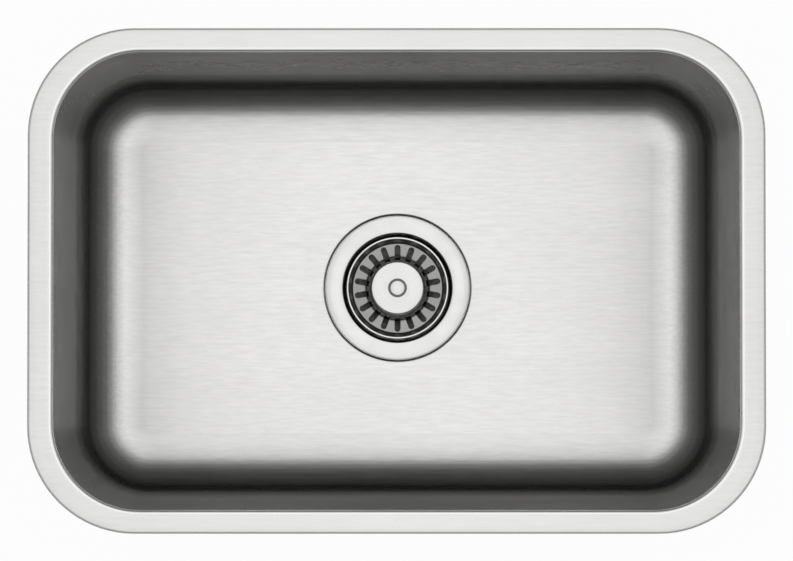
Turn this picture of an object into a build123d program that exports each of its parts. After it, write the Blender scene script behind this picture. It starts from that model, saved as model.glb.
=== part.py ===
"""Undermount kitchen sink with its basket strainer, in millimetres.

The origin is the middle of the bowl opening, on the flange's top face, which lies
against the underside of the worktop. +X runs along the sink, +Y to its back and +Z up.
"""

from build123d import *
import math
import os

# Sheet, flange and the lip that is turned down around it
sheet = 1.2
flange_length = 550.0
flange_width = 377.0
flange_corner_radius = 80.0
flange_end_border = 19.0
flange_side_border = 17.5
flange_corner_border = 15.0
lip_height = 3.0
lip_bevel = 0.8

# Bowl, measured on its inside; its floor falls to the drain inside a round dish
bowl_depth = 190.0
wall_draft = 5.0
rim_bend_radius = 3.0
floor_bend_radius = 44.0
dish_fall = 2.0
dish_margin = 4.0

# Recess and hole for the strainer
drain_hole_radius = 45.0
recess_depth = 3.0
recess_gap = 1.0
recess_draft = 20.0

# Strainer body
strainer_sheet = 1.2
strainer_flange_reach = 11.0
strainer_hole_clearance = 0.8
throat_bevel = 0.5
cup_depth = 46.0
cup_bevel = 6.0
shoulder_fall = 4.0
seat_width = 5.4
seat_fall = 4.0
outlet_length = 18.0
outlet_wall = 3.2
thread_clearance = 0.1
ring_clearance = 0.5

# Crossbar in the outlet
cross_drop = 4.5
cross_thickness = 1.5
cross_arm_width = 4.0
cross_arm_count = 4
cross_hub_radius = 7.0
cross_hole_radius = 3.6
cross_clearance = 0.05

# Rings and nut that clamp the strainer body to the sheet
flange_seal_thickness = 1.6
flange_seal_margin = 1.0
under_gasket_reach = 12.5
under_gasket_thickness = 3.0
friction_ring_reach = 8.5
friction_ring_thickness = 1.0
lock_nut_reach = 5.0
lock_nut_height = 10.0
lock_nut_edge = 1.0
lug_count = 8
lug_width = 11.0
lug_reach = 4.5

# Tailpiece and its coupling
tailpiece_radius = 19.05
tailpiece_wall = 1.25
tailpiece_length = 102.0
tailpiece_bevel = 0.8
tailpiece_flange_inset = 0.5
washer_thickness = 2.0
nut_flats = 54.0
nut_height = 16.0
nut_lip = 2.5
nut_edge = 1.5
nut_running_clearance = 0.85

# Basket
basket_sheet = 0.8
rim_clearance = 2.8
rim_drop = 2.4
bead_radius = 0.95
basket_wall_width = 4.05
cone_top_drop = 12.0
cone_fall = 3.5
well_radius = 24.5
well_taper = 3.0
well_bevel = 1.5
slot_count = 18
slot_width = 3.5
slot_margin = 2.2
slot_foot = 7.0

# Seal under the basket
seal_gap = 0.35
seal_margin = 1.0
seal_bottom_margin = 1.4
seal_edge_height = 3.0
seal_washer_radius = 14.0
seal_washer_thickness = 1.0

# Post, clip, cap and rivet
post_radius = 4.0
post_neck_radius = 3.0
post_fit = 0.1
post_collar_radius = 7.0
post_collar_height = 3.0
post_head_radius = 9.0
post_head_height = 2.0
clip_clearance = 0.35
clip_bore_radius = 2.0
clip_reach = 5.0
clip_slit_width = 1.0
knob_radius = 20.5
knob_drop = 2.0
knob_sheet = 1.6
knob_skirt_height = 4.5
knob_bevel = 0.8
rivet_head_radius = 5.7
rivet_groove_width = 1.7
rivet_head_height = 0.9
rivet_shank_radius = 1.8
rivet_shank_length = 10.0
rivet_bevel = 0.3

# Sound-deadening pads on the outside of the bowl
pad_thickness = 3.0
pad_corner_radius = 12.0
pad_bevel = 0.8
wall_pad_margin = 40.0
wall_pad_drop = 35.0
wall_pad_rise = 15.0
floor_pad_margin = 12.0

# Half width of the band of heights in which a level face is looked for
level_tolerance = 0.01

# Opening and slopes of the walls
opening_length = flange_length - 2 * flange_end_border
opening_width = flange_width - 2 * flange_side_border
opening_corner_radius = flange_corner_radius - flange_corner_border
draft_angle = math.radians(wall_draft)
recess_angle = math.radians(recess_draft)
wall_growth = sheet / math.cos(draft_angle)

# Flat floor inside the bends, and the dish in it
floor_z = -bowl_depth + dish_fall
floor_inset = -floor_z * math.tan(draft_angle)
floor_inset += floor_bend_radius * math.tan((math.pi / 2 - draft_angle) / 2)
floor_half_length = opening_length / 2 - floor_inset
floor_half_width = opening_width / 2 - floor_inset
dish_radius = floor_half_width - dish_margin

# Radii of what lies on the sheet around the drain hole, above it and below
strainer_flange_radius = drain_hole_radius + strainer_flange_reach
recess_radius = strainer_flange_radius + recess_gap
under_gasket_radius = drain_hole_radius + under_gasket_reach
friction_ring_radius = drain_hole_radius + friction_ring_reach
lock_nut_radius = drain_hole_radius + lock_nut_reach

# Heights, from the recess down
recess_z = -bowl_depth - recess_depth
strainer_top_z = recess_z + flange_seal_thickness + strainer_sheet
under_gasket_top_z = recess_z - sheet
friction_ring_top_z = under_gasket_top_z - under_gasket_thickness
lock_nut_top_z = friction_ring_top_z - friction_ring_thickness
shoulder_z = strainer_top_z - cup_depth
seat_top_z = shoulder_z - shoulder_fall
seat_bottom_z = seat_top_z - seat_fall
outlet_end_z = seat_bottom_z - outlet_length
cross_top_z = seat_bottom_z - cross_drop
cross_bottom_z = cross_top_z - cross_thickness

# Radii of the strainer body
cup_outer_radius = drain_hole_radius - strainer_hole_clearance
cup_radius = cup_outer_radius - strainer_sheet
outlet_radius = tailpiece_radius + ring_clearance
outlet_outer_radius = outlet_radius + outlet_wall
seat_radius = outlet_radius + seat_width

# Seal: its flank is parallel to the seat
seal_radius = seat_radius - seal_margin
seal_bottom_radius = outlet_radius + seal_bottom_margin


def seat_height(radius):
    """Height of the seat's cone at a radius."""
    return seat_bottom_z + (radius - outlet_radius) * seat_fall / seat_width


seal_top_z = seat_height(seal_radius) + seal_gap + seal_edge_height
seal_bottom_z = seat_height(seal_bottom_radius) + seal_gap
washer_bottom_z = seal_bottom_z - seal_washer_thickness

# Basket
rim_radius = cup_radius - rim_clearance
bead_centre_radius = rim_radius - bead_radius
bead_z = strainer_top_z - rim_drop - bead_radius
cone_top_radius = bead_centre_radius - basket_wall_width
cone_top_z = strainer_top_z - rim_drop - cone_top_drop
cone_bottom_z = cone_top_z - cone_fall
well_bottom_radius = well_radius - well_taper
well_floor_z = seal_top_z + basket_sheet

# Post and cap
knob_top_z = strainer_top_z - knob_drop
post_top_z = knob_top_z - knob_sheet
clip_radius = cross_hole_radius - clip_clearance
clip_bottom_z = cross_bottom_z - clip_reach
rivet_shank_bottom_z = knob_top_z - rivet_shank_length


def bowl_form(growth):
    """Solid of the bowl's inside, grown outwards by the growth of the sheet."""
    side = growth / math.cos(draft_angle)
    recess_side = growth * (1 / math.cos(recess_angle) - math.tan(recess_angle))
    recess_top_radius = recess_radius + recess_depth * math.tan(recess_angle)
    with BuildPart() as form:
        with BuildSketch():
            RectangleRounded(
                opening_length + 2 * side, opening_width + 2 * side, opening_corner_radius + side
            )
        extrude(amount=floor_z - growth, taper=wall_draft)
        fillet(form.faces().sort_by(Axis.Z)[0].edges(), floor_bend_radius + growth)
        with Locations((0, 0, floor_z - growth)):
            Cone(
                recess_top_radius,
                dish_radius,
                dish_fall,
                align=(Align.CENTER, Align.CENTER, Align.MAX),
            )
        with BuildSketch(Plane.XY.offset(recess_z - growth)):
            Circle(recess_radius + recess_side)
        extrude(amount=recess_depth + growth + dish_fall, taper=-recess_draft)
    return form.part


def bevelled(points, bevels):
    """Points of a line whose inner corners are cut off, each by its bevel."""
    corners = [Vector(*point) for point in points]
    line = [corners[0]]
    for before, corner, after, bevel in zip(corners, corners[1:], corners[2:], bevels):
        line.append(corner + (before - corner).normalized() * bevel)
        line.append(corner + (after - corner).normalized() * bevel)
    line.append(corners[-1])
    return line


def pressed_sheet(points, thickness):
    """Section of a pressed sheet in the XZ plane: a line that is thickened to one side."""
    with BuildSketch(Plane.XZ) as section_sketch:
        with BuildLine():
            Polyline(*points)
            offset(amount=thickness, side=Side.LEFT, kind=Kind.INTERSECTION)
        make_face()
    return section_sketch.sketch


def ring_section(inner_radius, outer_radius, bottom_z, top_z):
    """Rectangular section of a ring in the XZ plane."""
    with BuildSketch(Plane.XZ) as section_sketch:
        with Locations((inner_radius, bottom_z)):
            Rectangle(
                outer_radius - inner_radius, top_z - bottom_z, align=(Align.MIN, Align.MIN)
            )
    return section_sketch.sketch


def level_face(part, height):
    """The flat face of a part that lies at a height."""
    return part.faces().filter_by_position(
        Axis.Z, height - level_tolerance, height + level_tolerance
    )[0]


os.makedirs("parts", exist_ok=True)

# ---------------------------------------------------------------- sink bowl
bowl_outside = bowl_form(sheet)
bowl_inside = bowl_form(0)

with BuildPart() as sink_bowl:
    with BuildSketch():
        RectangleRounded(flange_length, flange_width, flange_corner_radius)
    extrude(amount=-lip_height)
    chamfer(sink_bowl.faces().sort_by(Axis.Z)[-1].edges(), lip_bevel)
    with BuildSketch(Plane.XY.offset(-lip_height)):
        RectangleRounded(
            flange_length - 2 * sheet, flange_width - 2 * sheet, flange_corner_radius - sheet
        )
    extrude(amount=lip_height - sheet, mode=Mode.SUBTRACT)
    add(bowl_outside)
    add(bowl_inside, mode=Mode.SUBTRACT)
    fillet(level_face(sink_bowl, 0).inner_wires()[0].edges(), rim_bend_radius)
    with Locations((0, 0, recess_z)):
        Hole(drain_hole_radius)
sink_bowl.part.label = "sink_bowl"
export_step(sink_bowl.part, "parts/sink_bowl.step")

# ---------------------------------------------------------------- sound-deadening pads
straight_length = opening_length - 2 * opening_corner_radius
straight_width = opening_width - 2 * opening_corner_radius
wall_bend_z = floor_z + floor_bend_radius
wall_pad_height = (-wall_pad_drop - wall_bend_z - wall_pad_rise) / math.cos(draft_angle)
wall_pad_middle = wall_pad_drop / math.cos(draft_angle) + wall_pad_height / 2

# name, direction that the wall faces in degrees, half the opening across it, straight run
for pad_name, heading, half_opening, straight_run in (
    ("wall_pad_right", 0, opening_length / 2, straight_width),
    ("wall_pad_back", 90, opening_width / 2, straight_length),
    ("wall_pad_left", 180, opening_length / 2, straight_width),
    ("wall_pad_front", 270, opening_width / 2, straight_length),
):
    outwards = Vector(1, 0, 0).rotate(Axis.Z, heading)
    along = Vector(0, 1, 0).rotate(Axis.Z, heading)
    square_out = outwards * math.cos(draft_angle) - Vector(0, 0, math.sin(draft_angle))
    wall_plane = Plane(
        origin=outwards * (half_opening + wall_growth), x_dir=along, z_dir=square_out
    )
    with BuildPart() as wall_pad:
        with BuildSketch(wall_plane):
            with Locations((0, -wall_pad_middle)):
                RectangleRounded(
                    straight_run - 2 * wall_pad_margin, wall_pad_height, pad_corner_radius
                )
        extrude(amount=pad_thickness)
        pad_face = wall_pad.faces().sort_by(Axis(wall_plane.origin, square_out))[-1]
        chamfer(pad_face.edges(), pad_bevel)
    wall_pad.part.label = pad_name
    export_step(wall_pad.part, f"parts/{pad_name}.step")

floor_pad_start = dish_radius + dish_margin
floor_pad_length = floor_half_length - floor_pad_margin - floor_pad_start
floor_pad_width = 2 * (floor_half_width - floor_pad_margin)

for side_name, side_sign in (("left", -1), ("right", 1)):
    pad_name = f"floor_pad_{side_name}"
    with BuildPart() as floor_pad:
        with BuildSketch(Plane.XY.offset(floor_z - sheet)):
            with Locations((side_sign * (floor_pad_start + floor_pad_length / 2), 0)):
                RectangleRounded(floor_pad_length, floor_pad_width, pad_corner_radius)
        extrude(amount=-pad_thickness)
        chamfer(floor_pad.faces().sort_by(Axis.Z)[0].edges(), pad_bevel)
    floor_pad.part.label = pad_name
    export_step(floor_pad.part, f"parts/{pad_name}.step")

# ---------------------------------------------------------------- strainer body
strainer_line = [
    (strainer_flange_radius, strainer_top_z),
    (cup_radius, strainer_top_z),
    (cup_radius, shoulder_z),
    (seat_radius, seat_top_z),
    (outlet_radius, seat_bottom_z),
    (outlet_radius, outlet_end_z),
]

with BuildPart() as strainer_body:
    with BuildSketch(Plane.XZ):
        add(
            pressed_sheet(
                bevelled(strainer_line[:4], [throat_bevel, cup_bevel]) + strainer_line[4:],
                strainer_sheet,
            )
        )
        add(ring_section(outlet_radius, outlet_outer_radius, outlet_end_z, cross_top_z))
    revolve()
strainer_body.part.label = "strainer_body"
export_step(strainer_body.part, "parts/strainer_body.step")

with BuildPart() as outlet_cross:
    with BuildSketch(Plane.XY.offset(cross_bottom_z)):
        with PolarLocations(0, cross_arm_count):
            Rectangle(2 * outlet_radius, cross_arm_width, align=(Align.MIN, Align.CENTER))
        Circle(cross_hub_radius)
        Circle(outlet_radius - cross_clearance, mode=Mode.INTERSECT)
        Circle(cross_hole_radius, mode=Mode.SUBTRACT)
    extrude(amount=cross_thickness)
outlet_cross.part.label = "outlet_cross"
export_step(outlet_cross.part, "parts/outlet_cross.step")

# ---------------------------------------------------------------- clamping rings and lock nut
with BuildPart() as flange_seal:
    revolve(
        ring_section(
            cup_outer_radius + ring_clearance,
            strainer_flange_radius - flange_seal_margin,
            recess_z,
            recess_z + flange_seal_thickness,
        )
    )
flange_seal.part.label = "flange_seal"
export_step(flange_seal.part, "parts/flange_seal.step")

with BuildPart() as under_gasket:
    revolve(
        ring_section(
            cup_outer_radius + ring_clearance,
            under_gasket_radius,
            friction_ring_top_z,
            under_gasket_top_z,
        )
    )
under_gasket.part.label = "under_gasket"
export_step(under_gasket.part, "parts/under_gasket.step")

with BuildPart() as friction_ring:
    revolve(
        ring_section(
            cup_outer_radius + ring_clearance,
            friction_ring_radius,
            lock_nut_top_z,
            friction_ring_top_z,
        )
    )
friction_ring.part.label = "friction_ring"
export_step(friction_ring.part, "parts/friction_ring.step")

with BuildPart() as lock_nut:
    with BuildSketch(Plane.XY.offset(lock_nut_top_z - lock_nut_height)):
        Circle(lock_nut_radius)
        with PolarLocations(0, lug_count):
            Rectangle(
                lock_nut_radius + lug_reach, lug_width, align=(Align.MIN, Align.CENTER)
            )
        Circle(cup_outer_radius + thread_clearance, mode=Mode.SUBTRACT)
    extrude(amount=lock_nut_height)
    nut_foot = lock_nut.faces().sort_by(Axis.Z)[0]
    chamfer(nut_foot.outer_wire().edges(), lock_nut_edge)
lock_nut.part.label = "lock_nut"
export_step(lock_nut.part, "parts/lock_nut.step")

# ---------------------------------------------------------------- tailpiece and coupling
washer_top_z = outlet_end_z
tailpiece_top_z = washer_top_z - washer_thickness
tailpiece_flange_radius = outlet_outer_radius - tailpiece_flange_inset
tailpiece_bore_radius = tailpiece_radius - tailpiece_wall
tailpiece_end_z = tailpiece_top_z - tailpiece_length
nut_bottom_z = tailpiece_top_z - tailpiece_wall - nut_lip

with BuildPart() as tailpiece_washer:
    revolve(
        ring_section(
            tailpiece_bore_radius + tailpiece_bevel,
            tailpiece_flange_radius,
            tailpiece_top_z,
            washer_top_z,
        )
    )
tailpiece_washer.part.label = "tailpiece_washer"
export_step(tailpiece_washer.part, "parts/tailpiece_washer.step")

tailpiece_line = [
    (tailpiece_flange_radius, tailpiece_top_z),
    (tailpiece_bore_radius, tailpiece_top_z),
    (tailpiece_bore_radius, tailpiece_end_z),
]

with BuildPart() as tailpiece:
    revolve(pressed_sheet(bevelled(tailpiece_line, [tailpiece_bevel]), tailpiece_wall))
tailpiece.part.label = "tailpiece"
export_step(tailpiece.part, "parts/tailpiece.step")

with BuildPart() as coupling_nut:
    with BuildSketch(Plane.XY.offset(nut_bottom_z)):
        RegularPolygon(nut_flats / 2, 6, major_radius=False)
    extrude(amount=nut_height)
    # the corners of the hexagon are turned off at its foot
    with BuildSketch(Plane.XZ):
        with Locations((0, nut_bottom_z)):
            Rectangle(nut_flats / 2 + nut_edge, nut_height, align=(Align.MIN, Align.MIN))
        chamfer(vertices().sort_by(Axis.X)[-2:].sort_by(Axis.Z)[0], nut_edge)
    revolve(mode=Mode.INTERSECT)
    with Locations((0, 0, nut_bottom_z)):
        Hole(tailpiece_radius + nut_running_clearance)
    with BuildSketch(Plane.XY.offset(nut_bottom_z + nut_lip)):
        Circle(outlet_outer_radius + thread_clearance)
    extrude(amount=nut_height, mode=Mode.SUBTRACT)
coupling_nut.part.label = "coupling_nut"
export_step(coupling_nut.part, "parts/coupling_nut.step")

# ---------------------------------------------------------------- basket
slot_outer_radius = cone_top_radius - slot_margin
slot_inner_radius = well_bottom_radius - basket_sheet
slot_middle_radius = (slot_outer_radius + slot_inner_radius) / 2
slot_foot_z = well_floor_z + slot_foot

basket_line = [
    (bead_centre_radius, bead_z),
    (cone_top_radius, cone_top_z),
    (well_radius, cone_bottom_z),
    (well_bottom_radius, well_floor_z),
    (post_neck_radius + post_fit, well_floor_z),
]

with BuildPart() as basket:
    with BuildSketch(Plane.XZ):
        add(
            pressed_sheet(
                basket_line[:2] + bevelled(basket_line[2:], [well_bevel]), basket_sheet
            )
        )
        with Locations((bead_centre_radius, bead_z)):
            RegularPolygon(bead_radius, 6)
    revolve()
    # the slots run down the cone and over its edge into the wall of the well
    with BuildSketch(Plane.XY.offset(slot_foot_z)):
        with PolarLocations(slot_middle_radius, slot_count, start_angle=90):
            SlotOverall(slot_outer_radius - slot_inner_radius, slot_width)
    extrude(amount=cone_top_z - slot_foot_z, mode=Mode.SUBTRACT)
basket.part.label = "basket"
export_step(basket.part, "parts/basket.step")

# ---------------------------------------------------------------- seal and its washer
with BuildPart() as basket_seal:
    with BuildSketch(Plane.XZ):
        with BuildLine():
            Polyline(
                (post_neck_radius + post_fit, seal_bottom_z),
                (seal_bottom_radius, seal_bottom_z),
                (seal_radius, seal_top_z - seal_edge_height),
                (seal_radius, seal_top_z),
                (post_neck_radius + post_fit, seal_top_z),
                close=True,
            )
        make_face()
    revolve()
basket_seal.part.label = "basket_seal"
export_step(basket_seal.part, "parts/basket_seal.step")

with BuildPart() as seal_washer:
    revolve(
        ring_section(
            clip_bore_radius + post_fit, seal_washer_radius, washer_bottom_z, seal_bottom_z
        )
    )
seal_washer.part.label = "seal_washer"
export_step(seal_washer.part, "parts/seal_washer.step")

# ---------------------------------------------------------------- post, clip, cap and rivet
with BuildPart() as basket_post:
    with BuildSketch(Plane.XZ):
        add(ring_section(0, clip_bore_radius, clip_bottom_z + clip_reach, seal_bottom_z))
        add(ring_section(0, post_neck_radius, seal_bottom_z, well_floor_z))
        add(ring_section(0, post_collar_radius, well_floor_z, well_floor_z + post_collar_height))
        add(ring_section(0, post_radius, well_floor_z, post_top_z))
        add(ring_section(0, post_head_radius, post_top_z - post_head_height, post_top_z))
    revolve()
    with BuildSketch(Plane.XY.offset(rivet_shank_bottom_z)):
        Circle(rivet_shank_radius + post_fit)
    extrude(amount=rivet_shank_length, mode=Mode.SUBTRACT)
basket_post.part.label = "basket_post"
export_step(basket_post.part, "parts/basket_post.step")

with BuildPart() as post_clip:
    revolve(
        ring_section(clip_bore_radius + post_fit, clip_radius, clip_bottom_z, washer_bottom_z)
    )
    chamfer(post_clip.edges().group_by(Axis.Z)[0].sort_by(SortBy.LENGTH)[-1], clip_clearance)
    # two crossed slits make the four springy fingers
    with BuildSketch(Plane.XY.offset(clip_bottom_z)):
        with PolarLocations(0, 2, angular_range=180):
            Rectangle(2 * clip_radius + clip_slit_width, clip_slit_width)
    extrude(amount=clip_reach, mode=Mode.SUBTRACT)
post_clip.part.label = "post_clip"
export_step(post_clip.part, "parts/post_clip.step")

with BuildPart() as basket_knob:
    with BuildSketch(Plane.XZ):
        add(
            ring_section(
                rivet_shank_radius + post_fit, knob_radius, post_top_z, knob_top_z
            )
        )
        add(
            ring_section(
                knob_radius - knob_sheet, knob_radius, knob_top_z - knob_skirt_height, knob_top_z
            )
        )
    revolve()
    chamfer(basket_knob.edges().group_by(Axis.Z)[-1].sort_by(SortBy.LENGTH)[-1], knob_bevel)
    with BuildSketch(Plane.XY.offset(knob_top_z - rivet_head_height)):
        Circle(rivet_head_radius + rivet_groove_width)
    extrude(amount=knob_sheet, mode=Mode.SUBTRACT)
basket_knob.part.label = "basket_knob"
export_step(basket_knob.part, "parts/basket_knob.step")

with BuildPart() as knob_rivet:
    with BuildSketch(Plane.XZ):
        add(ring_section(0, rivet_head_radius, knob_top_z - rivet_head_height, knob_top_z))
        add(ring_section(0, rivet_shank_radius, rivet_shank_bottom_z, knob_top_z))
    revolve()
    chamfer(knob_rivet.edges().group_by(Axis.Z)[-1], rivet_bevel)
knob_rivet.part.label = "knob_rivet"
export_step(knob_rivet.part, "parts/knob_rivet.step")
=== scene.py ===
"""Looks of the undermount sink and its basket strainer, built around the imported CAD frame.

Everything is in metres in the frame of the CAD part: the origin is the middle of the bowl's
opening on the flange's top face, +X runs along the sink, +Y to its back and +Z up.
"""

import bisect
import math

import bmesh
import bpy
from mathutils import Matrix, Vector


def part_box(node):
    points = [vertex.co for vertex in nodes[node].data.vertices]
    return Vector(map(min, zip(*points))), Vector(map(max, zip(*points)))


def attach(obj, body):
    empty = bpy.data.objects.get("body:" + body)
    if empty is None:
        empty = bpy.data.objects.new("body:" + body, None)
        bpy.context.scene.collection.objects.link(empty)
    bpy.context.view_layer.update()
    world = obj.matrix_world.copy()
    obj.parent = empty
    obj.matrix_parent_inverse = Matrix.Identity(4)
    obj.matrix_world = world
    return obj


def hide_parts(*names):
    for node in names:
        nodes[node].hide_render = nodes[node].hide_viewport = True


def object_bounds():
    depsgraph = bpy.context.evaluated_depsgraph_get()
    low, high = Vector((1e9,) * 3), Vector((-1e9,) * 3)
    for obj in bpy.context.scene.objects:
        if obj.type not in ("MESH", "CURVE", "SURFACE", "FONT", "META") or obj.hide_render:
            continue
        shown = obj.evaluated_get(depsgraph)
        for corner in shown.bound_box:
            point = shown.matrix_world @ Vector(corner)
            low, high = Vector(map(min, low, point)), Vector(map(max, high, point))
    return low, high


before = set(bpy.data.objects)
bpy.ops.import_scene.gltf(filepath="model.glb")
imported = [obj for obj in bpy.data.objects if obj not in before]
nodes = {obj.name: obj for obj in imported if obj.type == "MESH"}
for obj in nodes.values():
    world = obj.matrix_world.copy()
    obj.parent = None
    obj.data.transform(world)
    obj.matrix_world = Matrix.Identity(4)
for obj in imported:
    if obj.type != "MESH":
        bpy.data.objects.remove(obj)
cad_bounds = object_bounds()

MM = 0.001


def mm(*values):
    """Lengths in metres from lengths in millimetres."""
    return [value * MM for value in values]


# -------------------------------- sizes of the bowl
bowl_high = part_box("sink_bowl")[1]
SHEET = 1.2 * MM
OPENING_X = 256.0 * MM
OPENING_Y = 171.0 * MM
OPENING_CORNER = 65.0 * MM
BORDER_X = bowl_high.x - OPENING_X
BORDER_Y = bowl_high.y - OPENING_Y
BORDER_CORNER = 15.0 * MM
LIP_BEND = 2.0 * MM
LIP_DROP = 3.0 * MM
RIM_BEND = 3.0 * MM
FLOOR_BEND = 44.0 * MM
DRAFT = math.radians(5.0)
FLOOR_Z = -188.0 * MM
DISH_FALL = 2.0 * MM
DISH_RADIUS = 110.3 * MM
RECESS_DEPTH = 3.0 * MM
RECESS_RADIUS = 57.0 * MM
RECESS_SLOPE = math.radians(20.0)
RECESS_BEND = 1.2 * MM
HOLE_RADIUS = 45.0 * MM
SHOULDER_RADIUS = RECESS_RADIUS + RECESS_DEPTH * math.tan(RECESS_SLOPE)
RECESS_LEAD = RECESS_BEND * 1.2
RECESS_FOOT_BEND = RECESS_BEND * 0.6

# where the floor starts to fall towards the drain, and how the fall grows
DISH_REACH = DISH_RADIUS * 1.05
DISH_CURVE = 1.6

# steps around the opening: in a corner, along a long side and along a short side
CORNER_STEPS = 20
LONG_STEPS = 44
SHORT_STEPS = 28

# steps across the sheet
LIP_STEPS = 6
RIM_STEPS = 8
BEND_STEPS = 18
FLOOR_STEPS = 14
RECESS_STEPS = 5
WALL_SHARES = (0.01, 0.25, 0.5, 0.75, 0.99)
FLANGE_SHARES = (0.66, 0.33)

# -------------------------------- sizes of the drain
# strainer body and tailpiece
CUP_RADIUS = 43.0 * MM
CUP_DEPTH = 46.0 * MM
SHOULDER_FALL = 4.0 * MM
SEAT_FALL = 4.0 * MM
TUBE_RADIUS = 19.05 * MM
TUBE_WALL = 1.25 * MM
OUTLET_RADIUS = TUBE_RADIUS + 0.5 * MM
OUTLET_WALL = 3.2 * MM
SEAT_RADIUS = OUTLET_RADIUS + 5.4 * MM
CROSS_DROP = 4.5 * MM
STRAINER_BENDS = mm(0.7, 6.0, 1.2, 1.2)
STRAINER_EDGE = 0.25 * MM
COLLAR_INSET = 0.4 * SHEET
COLLAR_EDGE = 0.4 * MM
TUBE_BEND = 0.8 * MM
TUBE_EDGE = 0.3 * MM
BORE_CLEARANCE = 0.1 * MM
GASKET_CLEARANCE = 0.5 * MM
WASHER_GRIP = 0.45 * MM

# threads: the clear ends of the outlet's, how far the cup's runs below and above the foot of
# the lock nut, and the pitch and height of both
OUTLET_THREAD_FOOT = 2.0 * MM
OUTLET_THREAD_TOP = 1.6 * MM
OUTLET_THREAD = mm(2.2, 0.25)
CUP_THREAD_BELOW = 15.0 * MM
CUP_THREAD_ABOVE = 8.0 * MM
CUP_THREAD = mm(2.0, 0.5)
THREAD_STEPS = 64
THREAD_ROOT = 0.06 * MM
# half the width of a thread's foot and of its crest, as shares of the pitch
THREAD_FOOT = 0.46
THREAD_CREST = 0.1
# a thread runs out over a third of a turn
THREAD_RUN_OUT = 3.0

# basket
BASKET_SHEET = 0.8 * MM
BEAD_RADIUS = 0.95 * MM
BASKET_WALL_WIDTH = 3.85 * MM
CONE_TOP_DROP = 12.0 * MM
CONE_FALL = 1.6 * MM
WELL_RADIUS = 24.5 * MM
WELL_TOP_DROP = 2.6 * MM
WELL_FOOT_RADIUS = WELL_RADIUS - 3.0 * MM
SLOT_COUNT = 18
SLOT_WIDTH = 4.5 * MM
SLOT_MARGIN = 1.3 * MM
SLOT_FOOT = 7.0 * MM
SLOT_EDGE = 0.15 * MM
BASKET_BENDS = mm(1.2, 1.4, 2.2)
BASKET_STEP = 1.2 * MM
SLOT_TIP_STEPS = 6
SECTOR_COLUMNS = 4
# rows of the sheet nearer to a slot's end than this are left out
SLOT_CLEAR = SLOT_EDGE * 1.5

# cap, rivet, post and seal
KNOB_SHEET = 1.6 * MM
RIVET_HEAD = 0.9 * MM
RIVET_SHANK = 1.9 * MM
GROOVE_WIDTH = 1.45 * MM
POST_RADIUS = 4.0 * MM
POST_NECK_RADIUS = 3.0 * MM
COLLAR_RADIUS = 7.0 * MM
COLLAR_HEIGHT = 3.0 * MM
POST_HEAD_HEIGHT = 2.0 * MM
CLIP_BORE = 2.0 * MM
SEAL_EDGE = 3.0 * MM
SEAL_FOOT_MARGIN = 1.4 * MM
# where the groove's painted shade ends: under the cap's top, over the rivet and over the cap
GROOVE_SHADE_DROP = 0.15 * MM
GROOVE_SHADE_OVER_RIVET = 0.3 * MM
GROOVE_SHADE_OVER_CAP = 0.05 * MM
SEAL_GROOVE_FOOT = 0.9 * MM
SEAL_GROOVE_DEPTH = 0.45 * MM
SEAL_GROOVE_PITCH = 0.3 * MM

# smallest distances between two points of one mesh
TURNED_WELD = 1e-7
BASKET_WELD = 0.0005 * MM
CAD_WELD = 0.001 * MM

# a corner nearer to straight than this isn't rounded, as half its angle
STRAIGHT = math.radians(89.5)
# CAD faces that meet at less than this are one face
FLAT = math.radians(0.5)
# an edge sharper than this, in degrees, is rounded or shaded as an edge
SHARP = 35.0

# steps around the Z axis, and around the bead's section
TURNED_STEPS = 160
WIDE_STEPS = 192
NARROW_STEPS = 96
BEAD_STEPS = 24


# -------------------------------- curves and meshes
def arc(centre, radius, start, end, steps):
    """Points of an arc in a profile, angles in degrees."""
    angles = [math.radians(start + (end - start) * i / steps) for i in range(steps + 1)]
    return [(centre[0] + radius * math.cos(a), centre[1] + radius * math.sin(a)) for a in angles]


def round_corner(before, corner, after, radius, steps):
    """Points that take the place of a corner when it is rounded."""
    here = Vector(corner)
    back = (Vector(before) - here).normalized()
    ahead = (Vector(after) - here).normalized()
    half = back.angle(ahead) / 2
    if radius <= 0 or half > STRAIGHT:
        return [tuple(corner)]
    reach = radius / math.tan(half)
    centre = here + (back + ahead).normalized() * radius / math.sin(half)
    first, last = here + back * reach - centre, here + ahead * reach - centre
    turn = first.angle_signed(last)
    return [
        tuple(centre + Matrix.Rotation(-turn * i / steps, 2) @ first) for i in range(steps + 1)
    ]


def rounded(points, radii, steps=6):
    """A profile line with each inner corner rounded by its radius."""
    line = [tuple(points[0])]
    for before, corner, after, radius in zip(points, points[1:], points[2:], radii):
        line += round_corner(before, corner, after, radius, steps)
    return line + [tuple(points[-1])]


def rounded_loop(points, radii, steps=4):
    """A closed outline with its corners rounded, by one radius or by one for each corner."""
    if not isinstance(radii, (list, tuple)):
        radii = [radii] * len(points)
    loop = []
    for i, corner in enumerate(points):
        following = points[(i + 1) % len(points)]
        loop += round_corner(points[i - 1], corner, following, radii[i], steps)
    return loop


def offset_line(points, distance):
    """A profile line moved to its left by a distance, with its corners kept sharp."""
    moved = []
    for i, point in enumerate(points):
        sides = []
        for first, second in ((i - 1, i), (i, i + 1)):
            if first >= 0 and second < len(points):
                run = (Vector(points[second]) - Vector(points[first])).normalized()
                sides.append(Vector((-run.y, run.x)))
        middle = sum(sides, Vector((0, 0))).normalized()
        moved.append(tuple(Vector(point) + middle * distance / middle.dot(sides[0])))
    return moved


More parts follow.
